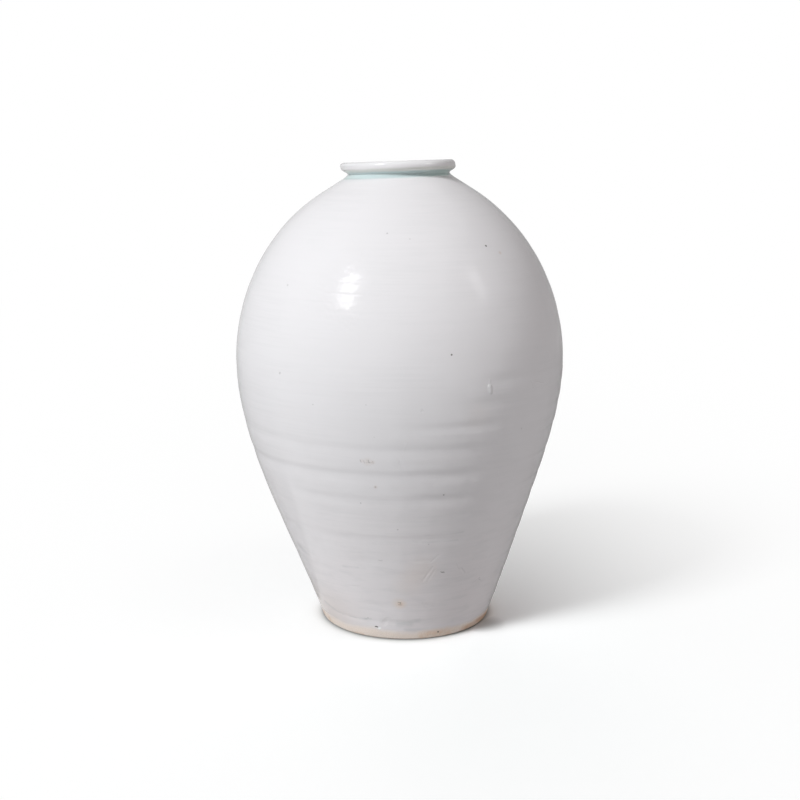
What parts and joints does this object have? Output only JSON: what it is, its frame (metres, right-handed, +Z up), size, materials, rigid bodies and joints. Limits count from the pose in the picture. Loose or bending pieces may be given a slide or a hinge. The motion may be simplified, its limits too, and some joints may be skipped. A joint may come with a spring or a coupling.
{
  "type": "meiping vase",
  "caption": "Tall glazed vase with full shoulders, a narrow tapering foot, a short neck and a small rolled lip.",
  "frame": {"origin": "on the ground, under the centre of the belly", "axes": "+Z up along the pot's axis, from the foot to the mouth; -Y faces the pictured side, +X to its right"},
  "size_m": [0.2832, 0.2826, 0.4015],
  "materials": {
    "white_glaze": "glossy white glaze over soft throwing ridges, with iron specks and a bare, orange-flashed foot edge",
    "neck_glaze": "glossy white glaze that pools pale blue-green in the hollow under the lip",
    "fired_clay": "matt, fine-grained fired slip"
  },
  "bodies": {
    "root": {"lower_body": "white_glaze", "upper_body": "white_glaze", "neck": "neck_glaze", "body_seam_slip": "fired_clay", "neck_seam_slip": "fired_clay"}
  },
  "joints": []
}
